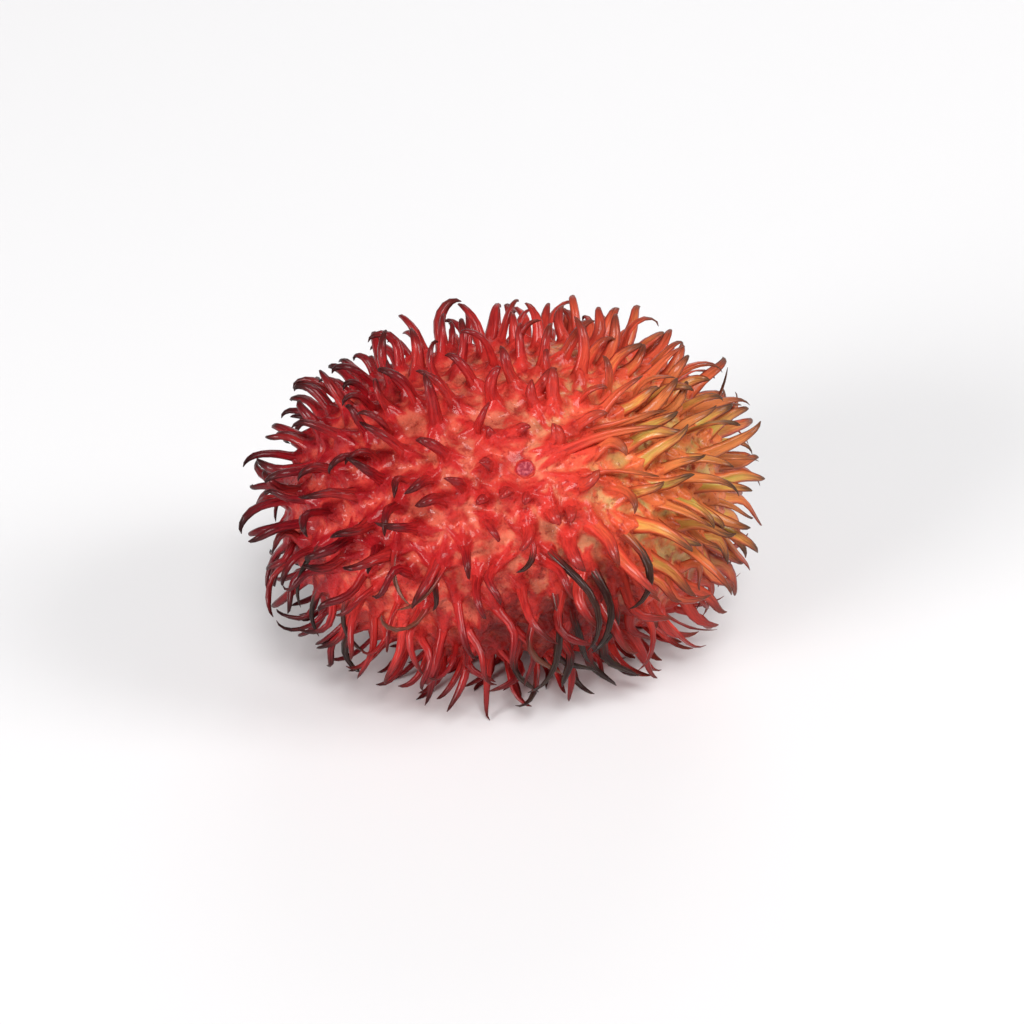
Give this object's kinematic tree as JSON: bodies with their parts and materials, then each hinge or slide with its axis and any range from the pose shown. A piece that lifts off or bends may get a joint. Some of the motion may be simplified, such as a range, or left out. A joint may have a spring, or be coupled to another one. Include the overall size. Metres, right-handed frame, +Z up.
{
  "type": "rambutan",
  "caption": "Ripe rambutan, picked: an ovoid fruit whose leathery red rind is covered with soft, curved, tapering spines.",
  "frame": {"origin": "on the surface that the fruit lies on, straight under the middle of the fruit with its spines", "axes": "+X along the fruit, towards its broader, less ripe end; +Z up; the side with the small round scar faces -Y and up"},
  "size_m": [0.0612, 0.0478, 0.0428],
  "materials": {
    "rind": "soft satin"
  },
  "bodies": {
    "root": {"rambutan": "rind"}
  },
  "joints": []
}
